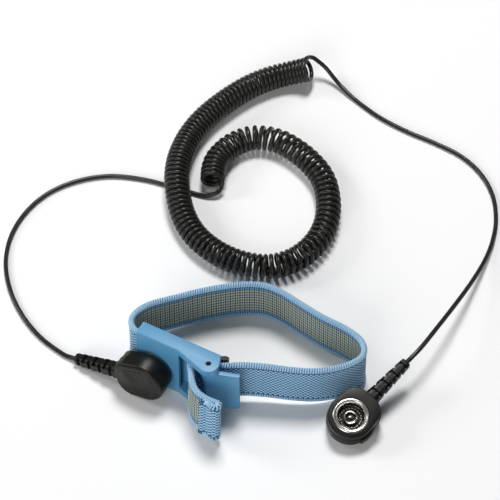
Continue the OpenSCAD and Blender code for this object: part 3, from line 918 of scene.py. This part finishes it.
def makeBoot(name, place, replaced):
    bm = bmesh.new()
    depth, seam = connector["bootThickness"], boot["seamAt"]
    narrow = 1 - boot["seamStep"] / connector["bootRadius"]
    base = bm.faces.new([bm.verts.new((p.x, p.y, -depth)) for p in bootOutline()])
    top = pushOut(bm, base, depth + seam - 0.2)
    top = pushOut(bm, top, 0.2, narrow)
    top = pushOut(bm, top, -seam)
    closeHoles(bm)
    bmesh.ops.recalc_face_normals(bm, faces=bm.faces)
    for level, offset, segments in ((-depth, boot["backEdge"], 6), (0, boot["mouthEdge"], 3)):
        rim = [e for e in bm.edges if all(abs(v.co.z - level) < 0.01 for v in e.verts)]
        bmesh.ops.bevel(bm, geom=rim, offset=offset, offset_type="OFFSET", segments=segments,
                        profile=0.5, affect="EDGES", material=-1)
    # the back: a low plateau
    back = min(bm.faces, key=lambda f: (round(f.calc_center_median().z, 3), -len(f.verts)))
    back = pushOut(bm, back, 0, boot["plateau"])
    pushOut(bm, back, -boot["plateauRise"], 0.975)
    # the mouth: a round seat for the socket
    lid = max(bm.faces, key=lambda f: (round(f.calc_center_median().z, 3), len(f.verts)))
    lid = pushOut(bm, lid, 0)
    for vert in lid.verts:
        flat = Vector((vert.co.x, vert.co.y)).normalized() * boot["seat"]
        vert.co = (flat.x, flat.y, vert.co.z)
    pushOut(bm, lid, -boot["seatDepth"])
    # a small round gate mark on the back
    gate = bmesh.ops.create_circle(bm, cap_ends=False, segments=32, radius=boot["gateRadius"])
    ring = gate["verts"]
    thin = list({e for v in ring for e in v.link_edges})
    bmesh.ops.translate(bm, vec=(*boot["gateAt"], -depth - boot["plateauRise"] + 0.05), verts=ring)
    lip = bmesh.ops.extrude_edge_only(bm, edges=thin)
    top = vertsIn(lip["geom"])
    middle = Vector((*boot["gateAt"], 0))
    for vert in top:
        vert.co = (vert.co - middle) * 0.92 + middle
        vert.co.z = -depth - boot["plateauRise"] - 0.12
    lipEdges = [e for e in lip["geom"] if isinstance(e, bmesh.types.BMEdge)]
    dish = bmesh.ops.extrude_edge_only(bm, edges=lipEdges)
    for vert in vertsIn(dish["geom"]):
        vert.co = (vert.co - middle) * 0.8 + middle
        vert.co.z = -depth - boot["plateauRise"] - 0.01
    closeHoles(bm)
    bmesh.ops.transform(bm, matrix=place, verts=bm.verts)
    piece = finishPiece(name, bm, blackPvc, "cord_set", smoothAngle=40)
    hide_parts(replaced)
    return piece


makeBoot("wrist_boot_body", wristPlace, "wrist_boot")
groundBootPiece = makeBoot("ground_boot_body", groundPlace, "ground_boot")


# Strain reliefs: tapered sleeves with notches in the sides and, half a pitch on, in the flats

relief = {"notches": 3, "firstAt": 5.0, "pitch": 4.9, "notchWidth": 1.1, "notchDepth": 1.1,
          "windowWidth": 1.1, "windowDepth": 0.8, "wall": 0.12, "sides": 48, "squareness": 0.16,
          "step": 0.16, "buried": 1.6, "overWire": 0.12,
          "sideCore": 0.45, "flatCore": 0.4}  # how deep inside the cable the cuts may end


def makeRelief(name, place, replaced):
    start, end = connector["rootX"] - relief["buried"], connector["reach"]
    wall, half, window = relief["wall"], relief["notchWidth"] / 2, relief["windowWidth"] / 2
    stations = [(start, None, 0)]  # place along the cable, what is cut there, steps passed
    for k in range(relief["notches"] + 1):
        at = connector["rootX"] + relief["firstAt"] + k * relief["pitch"]
        face = at - relief["pitch"] / 2
        stations += [(face - window - wall, None, k), (face - window, "flat", k),
                     (face + window, "flat", k), (face + window + wall, None, k)]
        if k < relief["notches"]:
            stations += [(at - half - wall, None, k), (at - half, "side", k),
                         (at + half, "side", k + 1), (at + half + wall, None, k + 1)]
    stations += [(end - 0.5, None, k), (end - 0.2, None, k), (end, None, k)]
    sides, last = relief["sides"], len(stations) - 1
    bm = bmesh.new()
    bmesh.ops.create_grid(bm, x_segments=last, y_segments=sides, size=0.5)
    for vert in bm.verts:
        i, j = round((vert.co.x + 0.5) * last), round((vert.co.y + 0.5) * sides) % sides
        x, cut, passed = stations[i]
        a = 2 * math.pi * j / sides
        t = (x - connector["rootX"]) / (end - connector["rootX"])
        tip = connector["tipRadius"] + relief["overWire"]
        r = connector["rootRadius"] + (tip - connector["rootRadius"]) * t
        r += relief["step"] * (passed - relief["notches"] * t)
        r *= 1 + relief["squareness"] * math.sin(2 * a) ** 2
        r -= {last: 0.45, last - 1: 0.12}.get(i, 0)
        if cut == "side" and abs(math.cos(a)) > 0.55:
            r = max(connector["tipRadius"] - relief["sideCore"], r - relief["notchDepth"])
        if cut == "flat" and abs(math.sin(a)) > 0.6:
            r = max(connector["tipRadius"] - relief["flatCore"], r - relief["windowDepth"])
        vert.co = (x, r * math.cos(a), connector["cableZ"] + r * math.sin(a))
    bmesh.ops.remove_doubles(bm, verts=bm.verts, dist=0.001)
    closeHoles(bm)
    bmesh.ops.transform(bm, matrix=place, verts=bm.verts)
    piece = finishPiece(name, bm, blackPvc, "cord_set", smoothAngle=40)
    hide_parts(replaced)
    return piece


makeRelief("wrist_strain_sleeve", wristPlace, "wrist_strain_relief")
groundReliefPiece = makeRelief("ground_strain_sleeve", groundPlace, "ground_strain_relief")
print("boots and strain reliefs made")


# Ground socket: pressed nickel cap with a rolled rim, a ring of pressed beads and an eyelet

socket = {
    "rim": 6.72, "lip": 5.65, "bore": 5.03, "floor": -3.05,
    "beads": 22, "beadRing": 3.95, "beadSize": 0.46,
    "eyeletOuter": 2.65, "eyeletInner": 1.95, "eyeletTop": -1.85, "eyeletDepth": -3.3,
    "turnSteps": 72, "eyeletSteps": 48,
}


def spinProfile(profile, steps):
    # turns an outline of (radius, height) once round the Z axis
    bm = bmesh.new()
    verts = [bm.verts.new((r, 0, z)) for r, z in profile]
    edges = [bm.edges.new(pair) for pair in zip(verts, verts[1:])]
    bmesh.ops.spin(bm, geom=verts + edges, cent=(0, 0, 0), axis=(0, 0, 1), angle=2 * math.pi,
                   steps=steps, use_merge=True)
    bmesh.ops.remove_doubles(bm, verts=bm.verts, dist=0.0005)
    return bm


def makeSocket(name, place, replaced):
    rim, lip, bore, floor = socket["rim"], socket["lip"], socket["bore"], socket["floor"]
    rolled = [(lip + 0.55 + 0.52 * math.cos(math.radians(a)),
               0.02 + 0.3 * math.sin(math.radians(a))) for a in range(0, 181, 20)]
    # (radius, height): up the skirt, over the rolled rim, down the well and back below
    profile = [(6.0, -3.9), (6.0, -0.62), (rim, -0.58), (rim, -0.2)] + rolled
    profile += [(lip, -0.1), (lip - 0.12, -0.28), (bore + 0.3, -0.3), (bore + 0.24, -0.04),
                (bore + 0.1, 0.03), (bore, -0.1), (bore, -0.25), (bore + 0.5, -0.35),
                (bore + 0.5, -0.75), (bore, -0.85), (bore, floor + 0.35), (bore - 0.35, floor),
                (0.95, floor), (0.95, -3.9), (6.0, -3.9)]
    bm = spinProfile(profile, socket["turnSteps"])
    for face in bm.faces:  # the well gets the darker nickel as painted shade, the rim stays bright
        centre = face.calc_center_median()
        face.material_index = int(centre.z < -0.3 and math.hypot(centre.x, centre.y) < bore + 0.6)
    bmesh.ops.transform(bm, matrix=place, verts=bm.verts)
    piece = finishPiece(name, bm, nickel, "cord_set", smoothAngle=40)
    piece.data.materials.append(wellShadeNickel)
    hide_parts(replaced)
    return piece


def makeBeads(name, place):
    bm = bmesh.new()
    for k in range(socket["beads"]):
        turn = Matrix.Rotation(2 * math.pi * k / socket["beads"], 4, "Z")
        shape = Matrix.Diagonal((1.3, 0.85, 1.0, 1.0))
        out = Matrix.Translation((socket["beadRing"], 0, socket["floor"] + 0.25))
        put = place @ turn @ out @ shape
        bmesh.ops.create_icosphere(bm, subdivisions=2, radius=socket["beadSize"], matrix=put)
    # the beads get a darker nickel: painted shade on the socket's floor
    return finishPiece(name, bm, beadShadeNickel, "cord_set", smoothAngle=180)


def makeEyelet(name, place, replaced):
    outer, inner = socket["eyeletOuter"], socket["eyeletInner"]
    top, low = socket["eyeletTop"], socket["eyeletDepth"]
    middle, half = (outer + inner) / 2, (outer - inner) / 2
    rolled = [(middle + half * math.cos(math.radians(a)),
               top - 0.25 + half * math.sin(math.radians(a))) for a in range(0, 181, 20)]
    profile = [(outer, low)] + rolled
    profile += [(inner - 0.1, low + 0.5), (1.2, low + 0.32), (0.6, low + 0.5), (0.0, low + 0.56)]
    bm = spinProfile(profile, socket["eyeletSteps"])
    # the eyelet's inside gets the darker nickel: painted shade
    for face in bm.faces:
        centre = face.calc_center_median()
        face.material_index = int(centre.z < top - 0.3)
    closeHoles(bm)
    bmesh.ops.transform(bm, matrix=place, verts=bm.verts)
    piece = finishPiece(name, bm, nickel, "cord_set", smoothAngle=40)
    piece.data.materials.append(wellShadeNickel)
    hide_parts(replaced)
    return piece


groundSocketPiece = makeSocket("ground_socket_cap", groundPlace, "ground_socket")
groundBeads = makeBeads("ground_socket_beads", groundPlace)
groundEyeletPiece = makeEyelet("ground_eyelet_rolled", groundPlace, "ground_eyelet")
tabOutline = arc((0, 0), connector["bootRadius"] + boot["tabRise"], -112, -64, 10)
tabOutline += arc((0, 0), connector["bootRadius"] - 0.6, -64, -112, 10)
tabBm = prism(tabOutline, *boot["tabSpan"])
bmesh.ops.transform(tabBm, matrix=groundPlace, verts=tabBm.verts)
groundTab = finishPiece("ground_boot_tab", tabBm, blackPvc, "cord_set")
print("socket made")


# Metal and small parts keep their CAD shapes

for nodeName in ("wrist_socket", "press_stud", "wrist_eyelet"):
    coat(nodeName, nickel)
# the pin's near-black navy is painted shade of its hole
coat("cam_pin", pinShadeNavy)
for nodeName in ("contact_plate", "stud_rivet", "anchor_pins", "wrist_snap_ring",
                 "ground_snap_ring", "wrist_crimp", "ground_crimp"):
    coat(nodeName, steel)
for nodeName in ("wrist_terminal", "ground_terminal"):
    coat(nodeName, brass)
coat("safety_resistor", lacquer)
coat("guide_bar", blackNylon)

makeCord(jacket)


# Floor and soft studio light

studio = {
    "floorSize": 6.0, "floorColour": "#FAFAFA",
    "lights": [  # name, place, size, power
        ("top", (-0.25, 0.6, 1.5), 0.5, 19.0),
        ("front", (0.15, -1.5, 0.75), 0.9, 13.0),
        ("left", (-1.3, -0.2, 0.8), 0.5, 6.0),
    ],
    "world": 1.5,
}

floorBm = bmesh.new()
bmesh.ops.create_grid(floorBm, x_segments=1, y_segments=1, size=studio["floorSize"] / 2)
floorMesh = bpy.data.meshes.new("floor")
floorBm.to_mesh(floorMesh)
floorBm.free()
floor = bpy.data.objects.new("floor", floorMesh)
bpy.context.scene.collection.objects.link(floor)
floorMesh.materials.append(newMaterial("matt_paper_white", {
    "Base Color": linearColour(studio["floorColour"]), "Roughness": 0.9})[0])

for lightName, lightPlace, lightSize, power in studio["lights"]:
    light = bpy.data.lights.new(lightName, "AREA")
    light.energy, light.size = power, lightSize
    lamp = bpy.data.objects.new(lightName, light)
    lamp.location = lightPlace
    lamp.rotation_euler = (-Vector(lightPlace)).to_track_quat("-Z", "Y").to_euler()
    bpy.context.scene.collection.objects.link(lamp)
world = bpy.data.worlds.new("studio")
world.use_nodes = True
world.node_tree.nodes["Background"].inputs["Strength"].default_value = studio["world"]
bpy.context.scene.world = world
bpy.context.scene.view_settings.view_transform = "Standard"
print("stage and lights set")
